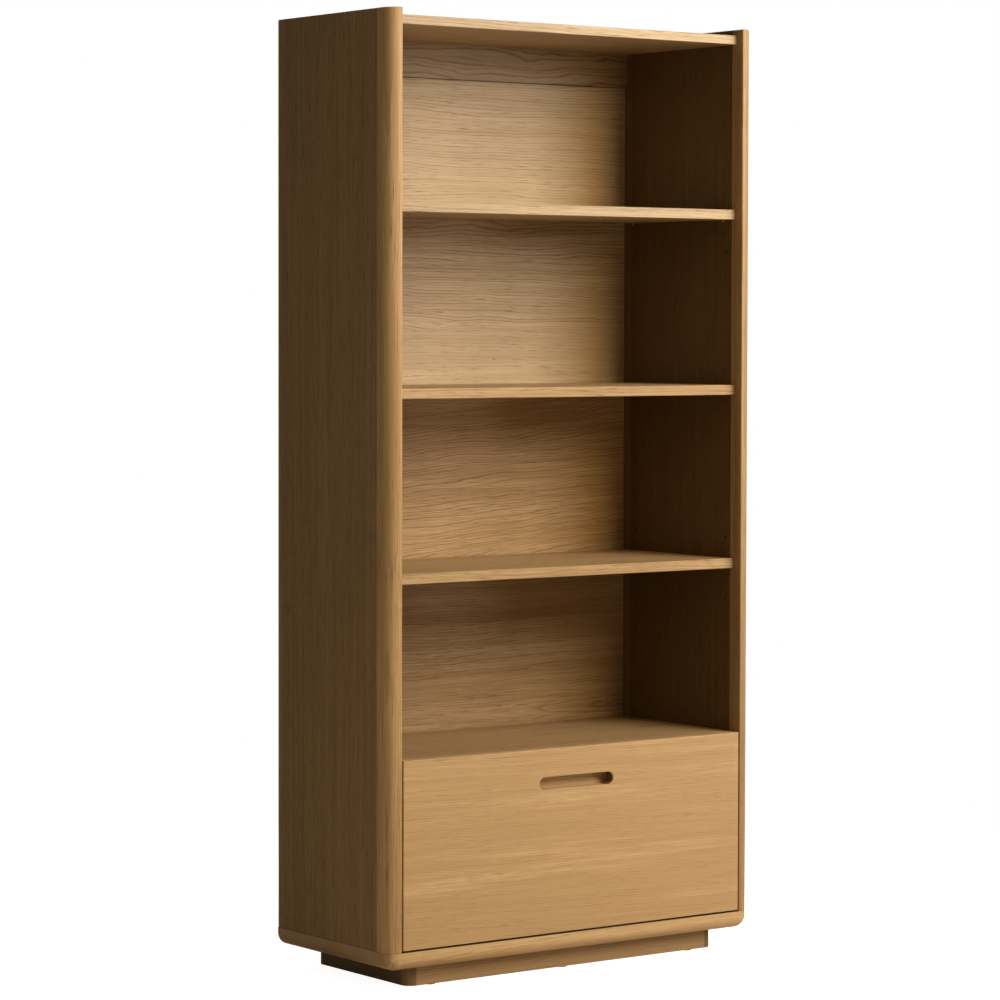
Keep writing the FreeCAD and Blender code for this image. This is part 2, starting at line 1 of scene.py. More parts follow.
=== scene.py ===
# %% [markdown]
# # An oak bookcase with a slotted drawer
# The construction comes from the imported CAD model, so every board already has its
# real size and place. This lesson gives the boards their timber, adds the small
# shapes that catch the light, and sets up the camera, the lamps and the floor.

# %% Load the construction
import math

import bpy
import numpy as np
from mathutils import Matrix, Vector


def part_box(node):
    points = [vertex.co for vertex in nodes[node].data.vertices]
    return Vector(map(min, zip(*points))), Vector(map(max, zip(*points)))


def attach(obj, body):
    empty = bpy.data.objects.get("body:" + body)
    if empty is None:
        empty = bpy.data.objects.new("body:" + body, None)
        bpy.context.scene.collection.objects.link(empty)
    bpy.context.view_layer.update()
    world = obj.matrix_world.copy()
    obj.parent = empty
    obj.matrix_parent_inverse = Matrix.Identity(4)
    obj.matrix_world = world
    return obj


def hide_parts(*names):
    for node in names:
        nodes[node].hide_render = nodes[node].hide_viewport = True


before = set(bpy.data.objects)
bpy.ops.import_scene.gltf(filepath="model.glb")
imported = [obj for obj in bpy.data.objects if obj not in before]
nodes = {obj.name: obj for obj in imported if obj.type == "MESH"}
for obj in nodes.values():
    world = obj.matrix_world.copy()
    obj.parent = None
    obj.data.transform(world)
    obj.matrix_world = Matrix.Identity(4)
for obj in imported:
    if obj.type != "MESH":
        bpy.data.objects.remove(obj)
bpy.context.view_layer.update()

# %% [markdown]
# ## The camera
# The photograph was taken with a long lens from the front left, a little above the
# middle of the case. A camera is given by its place, three turns, a focal length and
# a small shift. The turns could be typed as Euler angles, but a matrix whose columns
# are the camera's right, up and back directions is easier to check.

# %% Camera
SENSOR = 36.0
IMAGE_PIXELS = 1000.0
FOCAL_PIXELS = 3568.7
CENTRE_PIXELS = (485.7, 464.8)
CAMERA_PLACE = Vector((-4.2436, -5.6654, 1.2622))
CAMERA_YAW = math.radians(36.306)
CAMERA_PITCH = math.radians(-2.281)
CAMERA_ROLL = math.radians(0.119)
CLIP_END = 100.0


def camera_axes(yaw, pitch, roll):
    """Right, up and forward: forward is (sin yaw cos pitch, cos yaw cos pitch, sin pitch)."""
    forward = Vector((math.sin(yaw) * math.cos(pitch), math.cos(yaw) * math.cos(pitch),
                      math.sin(pitch)))
    level = Vector((math.cos(yaw), -math.sin(yaw), 0))
    upright = level.cross(forward)
    right = level * math.cos(roll) + upright * math.sin(roll)
    up = upright * math.cos(roll) - level * math.sin(roll)
    return right, up, forward


def make_camera():
    """A camera whose matrix columns are right, up and backward."""
    data = bpy.data.cameras.new("camera")
    data.sensor_width = SENSOR
    data.lens = SENSOR * FOCAL_PIXELS / IMAGE_PIXELS
    data.shift_x = (IMAGE_PIXELS / 2 - CENTRE_PIXELS[0]) / IMAGE_PIXELS
    data.shift_y = (CENTRE_PIXELS[1] - IMAGE_PIXELS / 2) / IMAGE_PIXELS
    data.clip_end = CLIP_END
    camera = bpy.data.objects.new("camera", data)
    right, up, forward = camera_axes(CAMERA_YAW, CAMERA_PITCH, CAMERA_ROLL)
    turn = Matrix((right, up, -forward)).transposed().to_4x4()
    camera.matrix_world = Matrix.Translation(CAMERA_PLACE) @ turn
    bpy.context.scene.collection.objects.link(camera)
    bpy.context.scene.camera = camera
    return camera


camera = make_camera()
print("lens", round(camera.data.lens, 2), "shift", camera.data.shift_x, camera.data.shift_y)

# %% [markdown]
# ## Writing shaders as sums
# A wood grain is a formula, and a formula reads best as one. The class below wraps an
# output socket: Python's operators on it add Math nodes, and one method adds any other
# node with its settings and inputs.

# %% Shader wires


class Wire:
    """An output socket of a shader tree, on which arithmetic adds Math nodes."""

    def __init__(self, tree, socket=None):
        self.tree = tree
        self.socket = socket

    def add(self, kind, settings=None, sockets=None, output=0):
        """A new node: its settings come first, then its inputs' values or links."""
        node = self.tree.nodes.new("ShaderNode" + kind)
        for name, value in (settings or {}).items():
            setattr(node, name, value)
        for name, value in (sockets or {}).items():
            if isinstance(value, Wire):
                self.tree.links.new(value.socket, node.inputs[name])
            else:
                node.inputs[name].default_value = value
        return Wire(self.tree, node.outputs[output])

    def other(self, output):
        """Another output of the same node."""
        return Wire(self.tree, self.socket.node.outputs[output])

    def maths(self, operation, *values):
        """A Math node on these values."""
        return self.add("Math", {"operation": operation}, dict(enumerate(values)))

    def __add__(self, value):
        return self.maths("ADD", self, value)

    def __sub__(self, value):
        return self.maths("SUBTRACT", self, value)

    def __mul__(self, value):
        return self.maths("MULTIPLY", self, value)

    def __truediv__(self, value):
        return self.maths("DIVIDE", self, value)

    def __pow__(self, value):
        return self.maths("POWER", self, value)

    def __rsub__(self, value):
        return self.maths("SUBTRACT", value, self)

    def __rtruediv__(self, value):
        return self.maths("DIVIDE", value, self)

    __radd__ = __add__
    __rmul__ = __mul__

    def ramp(self, low, high, bottom=0.0, top=1.0):
        """Smoothly from bottom to top as the value goes from low to high."""
        return self.add("MapRange", {"interpolation_type": "SMOOTHSTEP"},
                        {"Value": self, "From Min": low, "From Max": high,
                         "To Min": bottom, "To Max": top})

    def noise(self, stretch, shift, detail=1.0, roughness=0.5):
        """Noise at this vector times stretch plus shift."""
        scaled = self.add("VectorMath", {"operation": "MULTIPLY_ADD"},
                          {0: self, 1: stretch, 2: shift})
        return self.add("TexNoise", None, {"Vector": scaled, "Scale": 1.0, "Detail": detail,
                                           "Roughness": roughness})

    def mixed(self, first, second):
        """A colour from first to second as this number goes from 0 to 1.

        A Mix node of colours takes its factor in socket 0 and its colours in 6 and 7.
        """
        return self.add("Mix", {"data_type": "RGBA"}, {0: self, 6: first, 7: second}, output=2)

    def tint(self, factor, colour):
        """This colour mixed towards another by a factor."""
        return factor.mixed(self, colour)

    def bumped(self, strength, distance):
        """The normal of a surface with this height, distance metres high."""
        return self.add("Bump", None, {"Strength": strength, "Distance": distance,
                                       "Height": self})


def shade(name, build):
    """A material whose surface is what build makes from an empty wire."""
    material = bpy.data.materials.new(name)
    material.use_nodes = True
    tree = material.node_tree
    tree.nodes.clear()
    surface = build(Wire(tree))
    output = tree.nodes.new("ShaderNodeOutputMaterial")
    tree.links.new(surface.socket, output.inputs["Surface"])
    return material


def dress(node, material):
    """Give one material to every slot of a CAD node."""
    for slot in nodes[node].material_slots:
        slot.material = material


def clad(piece, material):
    """Give a new piece its one material."""
    piece.data.materials.append(material)


# %% [markdown]
# ## Timber
# Oak shows growth lines, which are the log's rings cut by the face of the board, and
# short dark pores that follow the grain. A picture of wood could be wrapped on, but it
# would repeat and stretch. Here the rings are worked out: the distance from a log's
# heart, bent by slow noise, divided by the ring's width. Each board has its own heart,
# so some show straight lines and some show arches.

# %% Palettes
# Each palette is the pale wood, the deep wood, the growth line and the pore.
OAK = ((0.530, 0.322, 0.140), (0.385, 0.214, 0.081),
       (0.215, 0.108, 0.036), (0.165, 0.080, 0.027))
PALE_OAK = ((0.600, 0.402, 0.212), (0.425, 0.275, 0.136),
            (0.215, 0.120, 0.048), (0.165, 0.088, 0.036))
BROWN_OAK = ((0.370, 0.216, 0.076), (0.282, 0.157, 0.050),
             (0.155, 0.079, 0.023), (0.107, 0.054, 0.016))
FRONT_OAK = ((0.575, 0.359, 0.164), (0.418, 0.239, 0.098),
             (0.234, 0.121, 0.043), (0.180, 0.090, 0.032))
BIRCH = ((0.560, 0.400, 0.230), (0.480, 0.320, 0.170),
         (0.380, 0.235, 0.115), (0.330, 0.195, 0.090))
BEECH = ((0.520, 0.330, 0.170), (0.440, 0.265, 0.130),
         (0.330, 0.180, 0.080), (0.240, 0.120, 0.050))
PINE = ((0.580, 0.420, 0.220), (0.480, 0.310, 0.130),
        (0.360, 0.190, 0.065), (0.300, 0.160, 0.060))


def opaque(colour, tone=1.0):
    """A colour times a tone, with its alpha."""
    return tuple(min(1.0, channel * tone) for channel in colour) + (1.0,)


# %% [markdown]
# ## Leaves of veneer
# A veneered board is several narrow leaves side by side. Each leaf has a heart of its
# own, a lean and a force of its lines, so the figure breaks at the leaf's edge as it
# does on the real panels. Each leaf could be an object with a material of its own, but
# a board is one sheet. So a number steps up or down where the next leaf starts. A solid
# board is the same thing with a single leaf.

# %% Leaves


def one_leaf(heart, lean, force=1.0):
    """The leaves of a board with no break in its figure."""
    return ((0.0, heart, lean, force),)


def by_leaf(across, past, numbers):
    """The number of the leaf at a point: the first one, plus each step that lies behind.

    past holds a mask for each later leaf, which is 1 beyond the place where it starts.
    """
    value = across * 0 + numbers[0]
    for beyond, last, following in zip(past, numbers, numbers[1:]):
        value = value + beyond * (following - last)
    return value


# %% [markdown]
# ## Marks on a board
# Three things are laid over the figure where a board asks for them. A knot pushes the
# rings aside and has a dark eye. A seam is a thin dark line of painted shade where two
# pieces meet. Painted shade also fills a box whose sides fade in over a few millimetres.
# It could be a mask painted on the mesh, but the box needs three pairs of numbers and
# no brushwork.

# %% Marks
KNOT_STRETCH = 3.0
KNOT_REACH = 3.0
# Painted shade: the colour of a seam's line, and the colour that fills a box.
PAINTED_SEAM_COLOUR = opaque((0.030, 0.015, 0.007))
PAINTED_SHADE_COLOUR = opaque((0.030, 0.012, 0.002))
FADE = 0.004


def around_knots(along, across, knots, ring):
    """How far the knots push the rings and how dark their eyes are, by distance / size."""
    bulge = 0.0
    eye = 0.0
    for knot_along, knot_across, size in knots:
        far_along = (along - knot_along) / (size * KNOT_STRETCH)
        far_across = (across - knot_across) / size
        reach = (far_along * far_along + far_across * far_across) ** 0.5
        bulge = reach.ramp(0.0, KNOT_REACH, ring * 0.5, 0.0) + bulge
        eye = reach.ramp(0.15, 0.60, 0.9, 0.0) + eye
    return bulge, eye


def painted_seam_mask(place, position, half_width):
    """A seam's painted shade: nearly 1 at a position on one axis, 0 beyond its half width."""
    offset = place - position
    return offset.maths("ABSOLUTE", offset).ramp(half_width * 0.5, half_width, 0.85, 0.0)


def inside(axes, amount, *limits):
    """Painted shade: the amount inside a box, 0 outside. Each limit is (axis, low, high)."""
    for letter, low, high in limits:
        amount = axes[letter].ramp(low, low + FADE) * amount
        amount = axes[letter].ramp(high - FADE, high, 1.0, 0.0) * amount
    return amount


# %% [markdown]
# ## One recipe for every board
# The oiled timber of the case is layered: a pale ground with deeper clouds, fine
# streaks along the grain, the growth lines, and dark pores that crowd along them. Each
# layer could be a material group joined by hand in the node editor. Written as sums,
# one function makes all boards, and a board differs from the next only in the numbers
# that a joiner would choose: which timber, which way the grain runs, how wide the
# rings are, and where one leaf of veneer meets the next.

# %% Timber
# How often each layer's noise swings in a metre: along the grain, across and through.
SWEEP = (1.3, 5.5, 5.5)
RIPPLE = (7.0, 24.0, 24.0)
FIBRE = (11.0, 380.0, 380.0)
CROWD = (6.0, 60.0, 60.0)
DASH = (28.0, 600.0, 600.0)
CLOUD = (0.9, 11.0, 11.0)
STRIPE = (2.2, 75.0, 75.0)
# How far apart the noise of two seeds and of two leaves lies.
SEED_STEPS = (7.31, 3.17, 5.53)
SEED_LOT = 0.37
LEAF_STEP = 1.7
# The power that fades a ring's early wood, and the one that keeps only its edge.
EARLY_POWER = 1.6
EDGE_POWER = 5
# How much of the wander the ripple adds, where the force is 1.
RIPPLE_SHARE = 0.3
OILED_ROUGHNESS = 0.50
OILED_GLOSS = 0.2
PORE_DEPTH = 0.0006


def timber(name, palette, layout, seed, leaves, depth=0.05, ring=0.007, wander=0.05,
           line=0.7, streak=0.5, pores=0.5, band=0.6, tone=1.0, tilt=0.0, seams=(),
           knots=(), painted_shade_box=None):
    """Oiled wood whose grain runs along layout[0], with layout[1] across the board.

    The ring's number at a point is (distance to the heart + lean * along + slow noise)
    / ring, and its fraction runs from one growth line to the next.
    A leaf is (where it starts, its heart's place across, its lines' lean, their force).
    Force makes lines both stronger and wavier, and wander is how far they stray.
    depth is how far below the face the heart lies, and tilt leans the rings through it.
    line, streak, pores and band say how strongly lines, streaks, pores and clouds show.
    A seam of painted shade is (axis, position, half width); a knot is (along, across, size).
    The last argument paints shade in a box: an amount and limits, each (axis, low, high).
    """
    pale, deep, dark, hole = (opaque(colour, tone) for colour in palette)

    def build(start):
        place = start.add("TexCoord", output="Object")
        split = place.add("SeparateXYZ", None, {0: place})
        axes = {letter: split.other(letter) for letter in "XYZ"}
        along, across, through = (axes[letter] for letter in layout)

        starts, hearts, leans, forces = zip(*leaves)
        past = [across.maths("GREATER_THAN", across, edge) for edge in starts[1:]]
        heart = by_leaf(across, past, hearts)
        lean = by_leaf(across, past, leans)
        force = by_leaf(across, past, forces)
        leaf = by_leaf(across, past, range(len(leaves)))
        lot = leaf.add("TexWhiteNoise", {"noise_dimensions": "1D"},
                       {"W": leaf + seed * SEED_LOT})
        grain = along.add("CombineXYZ", None,
                          {0: along + leaf * LEAF_STEP, 1: across, 2: through})
        shift = tuple(seed * step for step in SEED_STEPS)

        sweep = grain.noise(SWEEP, shift, 2.0) - 0.5
        ripple = grain.noise(RIPPLE, shift, 2.0) - 0.5
        offset = across + through * tilt - heart
        distance = (offset * offset + depth ** 2) ** 0.5
        bulge, eye = around_knots(along, across, knots, ring)
        count = (distance + along * lean + sweep * wander
                 + ripple * force * (wander * RIPPLE_SHARE) + bulge) / ring
        phase = count.maths("FRACT", count)
        early = (1 - phase) ** EARLY_POWER
        edge_line = (1 - phase) ** EDGE_POWER
        strength = count.add("TexNoise", {"noise_dimensions": "1D"},
                             {"W": count * 0.6 + seed, "Scale": 1.0, "Detail": 2.0})
        strength = strength.ramp(0.36, 0.66, 0.15, 1.0) * force

        fibre = grain.noise(FIBRE, shift, 3.0, 0.7)
        crowd = grain.noise(CROWD, shift).ramp(0.35, 0.65, 0.35, 1.0)
        dash = grain.noise(DASH, shift).ramp(0.50, 0.68) * crowd
        cloud = grain.noise(CLOUD, shift, 3.0, 0.6) + (lot - 0.5) * 0.25
        stripe = grain.noise(STRIPE, shift, 3.0, 0.6)
        pore = dash * (0.3 + early * 0.7)

        colour = (cloud.ramp(0.34, 0.68) * band).mixed(pale, deep)
        colour = colour.tint(stripe.ramp(0.36, 0.66) * streak, deep)
        colour = colour.tint(fibre.ramp(0.36, 0.68) * (streak * 0.8), deep)
        colour = colour.tint(early * strength * (line * 0.35), dark)
        colour = colour.tint(edge_line * strength * line, dark)
        colour = colour.tint(pore * pores, hole)
        if knots:
            colour = colour.tint(eye, hole)
        # Painted shade along the seams and inside the box.
        for letter, position, half_width in seams:
            colour = colour.tint(painted_seam_mask(axes[letter], position, half_width), PAINTED_SEAM_COLOUR)
        if painted_shade_box:
            colour = colour.tint(inside(axes, *painted_shade_box), PAINTED_SHADE_COLOUR)

        height = fibre * 0.4 - pore - edge_line * strength * 0.5
        return colour.add("BsdfPrincipled", None,
                          {"Base Color": colour,
                           "Roughness": OILED_ROUGHNESS + pore * 0.2 - fibre * 0.06,
                           "Specular IOR Level": OILED_GLOSS,
                           "Normal": height.bumped(0.3, PORE_DEPTH)})

    return shade(name, build)


# %% [markdown]
# ## Surfaces from an outline and a path
# Posts, boards and rails are all one outline carried along a straight path, drawn in a
# little where an edge is eased. A cube with a Bevel modifier would do for a plain
# board, but the front posts are quarter rounds with a rebate, and the base board rolls
# under. One function covers them: point = outline - pull * inset, at each station of
# the path, so an edge's radius is a few stations with a growing inset.

# %% Surfaces
SIDES = ("left", "right")
SHARP_ANGLE = math.radians(35)


def arc(centre, radius, start, stop, steps=8):
    """Points centre + radius (cos, sin), and (cos, sin) itself, from start to stop degrees."""
    angle = np.radians(np.linspace(start, stop, steps + 1))
    direction = np.stack([np.cos(angle), np.sin(angle)], 1)
    return np.array(centre) + radius * direction, direction


def joined(*stretches):
    """One closed outline from arcs and from single corners, whose pull is given with them."""
    blocks = [np.atleast_2d(points) for points, _ in stretches]
    pulls = [np.broadcast_to(pull, block.shape) for block, (_, pull) in zip(blocks, stretches)]
    return np.concatenate(blocks), np.concatenate(pulls)


def eased_path(low, high, low_radius, high_radius, steps=6):
    """Stations (place, inset) from low to high: each end turns in by a quarter circle."""
    angle = np.linspace(0, np.pi / 2, steps + 1)
    turn = angle[::-1]
    start = np.stack([low + low_radius * (1 - np.cos(angle)),
                      low_radius * (1 - np.sin(angle))], 1)
    stop = np.stack([high - high_radius * (1 - np.cos(turn)),
                     high_radius * (1 - np.sin(turn))], 1)
    return np.concatenate([start, stop])


def tube_faces(rows, columns):
    """Quads of a closed tube of rings, and an n-gon at each end."""
    number = np.arange(rows * columns).reshape(rows, columns)
    below, above = number[:-1], number[1:]
    quads = np.stack([below, np.roll(below, -1, 1), np.roll(above, -1, 1), above], 2)
    return quads.reshape(-1, 4).tolist() + [number[0, ::-1].tolist(), number[-1].tolist()]


def make_piece(name, points, faces):
    """A smooth piece, sharp only where two faces meet at more than SHARP_ANGLE."""
    mesh = bpy.data.meshes.new(name)
    mesh.from_pydata(points.tolist(), [], faces)
    mesh.polygons.foreach_set("use_smooth", [True] * len(faces))
    mesh.set_sharp_from_angle(angle=SHARP_ANGLE)
    piece = bpy.data.objects.new(name, mesh)
    bpy.context.scene.collection.objects.link(piece)
    print(name, "faces", len(faces))
    return piece


def skin(name, outline, path, mirror=False):
    """A closed piece: ring i is outline - pull * inset_i at z = place_i."""
    points, pulls = outline
    ring = points[None] - pulls[None] * path[:, 1][:, None, None]
    height = np.broadcast_to(path[:, 0][:, None, None], ring.shape[:2] + (1,))
    grid = np.concatenate([ring, height], 2)
    if mirror:
        grid = grid[:, ::-1] * np.array([-1, 1, 1])
    return make_piece(name, grid.reshape(-1, 3), tube_faces(*grid.shape[:2]))


# %% [markdown]
# ## The front posts
# Each side wall ends at the front in a solid post: a near quarter round outside, a
# small ease inside, and a rebate behind that takes the panel's tongue. The seams with
# the panel and the base are eased by half a millimetre, so they show as fine lines.

# %% Front posts
POST_ROUND = 0.026
POST_EASE = 0.0025
SEAM_EASE = 0.0006
TONGUE_DEPTH = 0.011
TONGUE_WIDTH = 0.010


def post_outline(low, high):
    """The left post in plan, run anticlockwise from the inner front corner's ease."""
    inner, outer, front, rear = high.x, low.x, low.y, high.y
    seam = rear - TONGUE_DEPTH
    tongue = inner - TONGUE_WIDTH
    inner_seam = (inner - SEAM_EASE, seam - SEAM_EASE)
    outer_seam = (outer + SEAM_EASE, rear - SEAM_EASE)
    still = np.zeros(2)
    return joined(
        arc((inner - POST_EASE, front + POST_EASE), POST_EASE, -90, 0),
        (arc(inner_seam, SEAM_EASE, 0, 90, 4)[0], np.array([1.0, 0.0])),
        (np.array([tongue, seam]), still),
        (np.array([tongue, rear]), still),
        (arc(outer_seam, SEAM_EASE, 90, 180, 4)[0], np.array([-1.0, 0.0])),
        arc((outer + POST_ROUND, front + POST_ROUND), POST_ROUND, 180, 270, 32),
    )


def make_post(side):
    """The post of one side: the left one's outline, mirrored in X = 0 for the right."""
    low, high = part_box("left_front_post")
    path = eased_path(low.z, high.z, SEAM_EASE, POST_EASE)
    post = skin(side + "_front_post_round", post_outline(low, high), path, side == "right")
    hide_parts(side + "_front_post")
    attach(post, "case")
    return post


posts = {side: make_post(side) for side in SIDES}

# %% [markdown]
# ## The base board
# The board under the case is rolled under along its front and both sides, and its front
# corners are quarter rounds in plan, so each corner is almost a ball. The same outline
# and path do it: the roll is a path whose inset grows by a quarter circle.

# %% Base board
BASE_ROLL = 0.0255


def base_outline(low, high):
    """The board in plan: quarter rounds in front, square behind, where no pull is in y."""
    return joined(
        arc((high.x - POST_ROUND, low.y + POST_ROUND), POST_ROUND, -90, 0, 24),
        (np.array([high.x, high.y]), np.array([1.0, 0.0])),
        (np.array([low.x, high.y]), np.array([-1.0, 0.0])),
        arc((low.x + POST_ROUND, low.y + POST_ROUND), POST_ROUND, 180, 270, 24),
    )


low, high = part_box("base_board")
base = skin("base_board_rolled", base_outline(low, high),
            eased_path(low.z, high.z, BASE_ROLL, SEAM_EASE, 24))
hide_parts("base_board")
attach(base, "case")

# %% [markdown]
# ## Separate solids of a node
# The CAD model keeps many screws in one node, as loose triangles. Each screw's place and
# size are needed to put a finer one there. Separate By Loose Parts would do it on a
# merged copy. Here each point starts with its own number, and the lowest number spreads
# over the triangles until every solid has just one.

# %% Separate solids


def mesh_arrays(node):
    """A node's points as an (n, 3) array, and its triangles as an (m, 3) array of them."""
    mesh = nodes[node].data
    points = np.empty(len(mesh.vertices) * 3)
    mesh.vertices.foreach_get("co", points)
    corners = np.empty(len(mesh.loops), dtype=int)
    mesh.loops.foreach_get("vertex_index", corners)
    places, number = np.unique(points.reshape(-1, 3).round(6), axis=0, return_inverse=True)
    return places, number.reshape(-1)[corners].reshape(-1, 3)


def solids(node):
    """The points of each separate solid: the lowest number spreads over joined triangles."""
    places, triangles = mesh_arrays(node)
    label = np.arange(len(places))
    while True:
        lowest = label[triangles].min(1)
        if (label[triangles] == lowest[:, None]).all():
            break
        np.minimum.at(label, triangles.ravel(), np.repeat(lowest, 3))
        label = label[label]
    return [places[label == value] for value in np.unique(label)]


# %% [markdown]
# ## The shape of one screw
# A real pan-head screw has a low dome, a cross-shaped recess for the driver and a coarse
# thread. The dome and the shank are a profile turned about an axis, which the Spin tool
# could make too, but the recess and the thread are not round: they are added to the
# profile as a depth that depends on the point, so one grid of (station, angle) holds
# them all. The shank is hidden in the wood as soon as it is driven, so a few rings per
# turn are enough for its thread, and the faces go to the recess.

# %% Screws
HEAD_RADIUS = 0.0035
HEAD_HEIGHT = 0.0014
HEAD_STATIONS = (0.04, 0.10, 0.18, 0.28, 0.38, 0.48, 0.55, 0.66, 0.82)
CROWN_SHARE = 0.25
RIM_SHARE = 0.45
SHANK_RADIUS = 0.0017
THREAD_PITCH = 0.0016
THREAD_DEPTH = 0.00035
THREADED_SHARE = 0.8
RINGS_PER_TURN = 3
CROSS_HALF_WIDTH = 0.00042
CROSS_REACH = 0.0019
CROSS_DEPTH = 0.0009


def smooth(value, low, high):
    """0 below low, 1 above high, and 3 t^2 - 2 t^3 between."""
    t = np.clip((value - low) / (high - low), 0, 1)
    return t * t * (3 - 2 * t)


def screw_grid(length, sides=24):
    """Points (x, y, depth) of one screw, depth running from the head's crown into the wood.

    Head: depth = height * crown share * (r / R)^2 + cross recess, then an eased rim, the
    seat and a shank whose radius swings by the thread depth once per pitch and per turn.
    """
    head_radii = HEAD_RADIUS * np.array(HEAD_STATIONS)
    head_depths = HEAD_HEIGHT * CROWN_SHARE * (head_radii / HEAD_RADIUS) ** 2
    rim = np.linspace(0, np.pi / 2, 4)
    ease = HEAD_HEIGHT * RIM_SHARE
    rim_radii = HEAD_RADIUS - ease * (1 - np.sin(rim))
    rim_depths = HEAD_HEIGHT * CROWN_SHARE + ease * (1 - np.cos(rim))
    turns = int((length - HEAD_HEIGHT) * THREADED_SHARE / THREAD_PITCH)
    thread_rings = np.arange(turns * RINGS_PER_TURN + 1)
    thread_depths = HEAD_HEIGHT + 0.0006 + thread_rings * THREAD_PITCH / RINGS_PER_TURN
    radius = np.concatenate([head_radii, rim_radii, [HEAD_RADIUS, SHANK_RADIUS],
                             np.full(len(thread_depths), SHANK_RADIUS), [SHANK_RADIUS * 0.1]])
    depth = np.concatenate([head_depths, rim_depths, [HEAD_HEIGHT, HEAD_HEIGHT],
                            thread_depths, [length]])
    angle = np.arange(sides) * 2 * np.pi / sides
    threaded = (depth > HEAD_HEIGHT + 0.0003) & (depth < length - 0.0001)
    swing = (depth[:, None] / THREAD_PITCH - angle[None] / (2 * np.pi)) % 1.0
    radius = radius[:, None] - threaded[:, None] * THREAD_DEPTH * np.abs(2 * swing - 1)
    x, y = radius * np.cos(angle), radius * np.sin(angle)
    arm = smooth(-np.minimum(abs(x), abs(y)), -CROSS_HALF_WIDTH * 1.8, -CROSS_HALF_WIDTH)
    recess = CROSS_DEPTH * arm * smooth(-radius, -CROSS_REACH * 1.15, -CROSS_REACH * 0.7)
    on_head = (np.arange(len(depth)) < len(head_radii))[:, None]
    return np.stack([x, y, depth[:, None] + recess * on_head], 2)


# %% [markdown]
# ## Driving every screw
# Each solid's longest side is the screw's axis, and the end with the wide points is its
# head. An instance of one screw could be put at each place, but the lengths differ and
# the export wants real meshes, so all the screws of a node become one piece. Each cross
# stands at its own angle, because nobody lines them up.

# %% Driven screws
CROSS_TURN = 0.7


def put(name, grids, body, replaced):
    """One piece from many closed ring grids of (rows, columns, 3), each facing outwards."""
    faces = []
    start = 0
    for grid in grids:
        rows, columns = grid.shape[:2]
        faces += [[start + corner for corner in face] for face in tube_faces(rows, columns)]
        start += rows * columns
    piece = make_piece(name, np.concatenate([grid.reshape(-1, 3) for grid in grids]), faces)
    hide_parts(*replaced)
    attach(piece, body)
    return piece


def make_screws(node, body):
    """Every screw of a node, each turned so that its depth runs the way that it is driven."""
    grids = []
    for number, points in enumerate(solids(node)):
        low, high = points.min(0), points.max(0)
        axis = int(np.argmax(high - low))
        at_low = points[np.isclose(points[:, axis], low[axis], atol=1e-5)]
        head_first = np.ptp(at_low, axis=0).max() > 3 * SHANK_RADIUS
        direction = np.zeros(3)
        direction[axis] = 1.0 if head_first else -1.0
        start = (low + high) / 2
        start[axis] = low[axis] if head_first else high[axis]
        side = np.roll(np.abs(direction), 1)
        turn = CROSS_TURN * number
        across = side * math.cos(turn) + np.cross(direction, side) * math.sin(turn)
        up = np.cross(direction, across)
        local = screw_grid(high[axis] - low[axis])
        grids.append(start + local @ np.array([across, up, direction]))
    print(node, "screws", len(grids))
    return put(node + "_cross_recess", grids, body, [node])


SCREW_BODIES = {"back_screws": "case", "plinth_screws": "case", "slide_cabinet_screws": "case",
                "drawer_front_screws": "drawer", "slide_drawer_screws": "drawer"}
screws = [make_screws(node, body) for node, body in SCREW_BODIES.items()]

# %% [markdown]
# ## Drawer slides
# Each slide is three channels rolled from steel strip, one inside the other, with balls
# in thin cages between them. Rolled strip never has a sharp corner, so the profile is a
# line of constant distance round a path with bends: outer side = path + normal * half
# the thickness, inner side = path - normal * half the thickness. It is carried along Y.

# %% Slide channels
STRIP = 0.0012
BEND = 0.0022
END_EASE = 0.0004
END_PULL = 0.003


def bent_path(corners, radius, steps=5):
    """Points along straight runs whose inner corners are arcs, with the normal at each."""
    angle = np.linspace(0, 1, steps + 1)[:, None] * np.pi / 2
    points = [corners[0]]
    for last, corner, following in zip(corners, corners[1:], corners[2:]):
        into = (corner - last) / np.linalg.norm(corner - last)
        out = (following - corner) / np.linalg.norm(following - corner)
        centre = corner - into * radius + out * radius
        points += list(centre - out * radius * np.cos(angle) + into * radius * np.sin(angle))
    points.append(corners[-1])
    points = np.array(points)
    run = np.gradient(points, axis=0)
    run /= np.linalg.norm(run, axis=1)[:, None]
    return points, np.stack([run[:, 1], -run[:, 0]], 1)


def rolled_outline(box_low, box_high, opens):
    """The (x, z) outline of a channel in a box, open to the side that opens names, 1 or -1."""
    half = STRIP / 2
    web, tip = (box_low.x + half, box_high.x) if opens > 0 else (box_high.x - half, box_low.x)
    low, high = box_low.z + half, box_high.z - half
    corners = np.array([(tip, low), (web, low), (web, high), (tip, high)])
    points, normal = bent_path(corners, BEND)
    outline = np.concatenate([points + normal * half, (points - normal * half)[::-1]])
    ahead = np.roll(outline, -1, 0)
    area = np.sum(outline[:, 0] * ahead[:, 1] - outline[:, 1] * ahead[:, 0])
    return outline if area > 0 else outline[::-1]


def carried_along_y(outline, low, high):
    """Rings of an anticlockwise (x, z) outline from the rear to the front, with eased ends.

    Ring = outline + (middle - outline) * pull at y = place.
    """
    middle = outline.mean(0)
    rings = []
    for place, pull in ((high, END_PULL), (high - END_EASE, 0.0), (low + END_EASE, 0.0),
                        (low, END_PULL)):
        around = outline + (middle - outline) * pull
        rings.append(np.stack([around[:, 0], np.full(len(outline), place), around[:, 1]], 1))
    return np.array(rings)


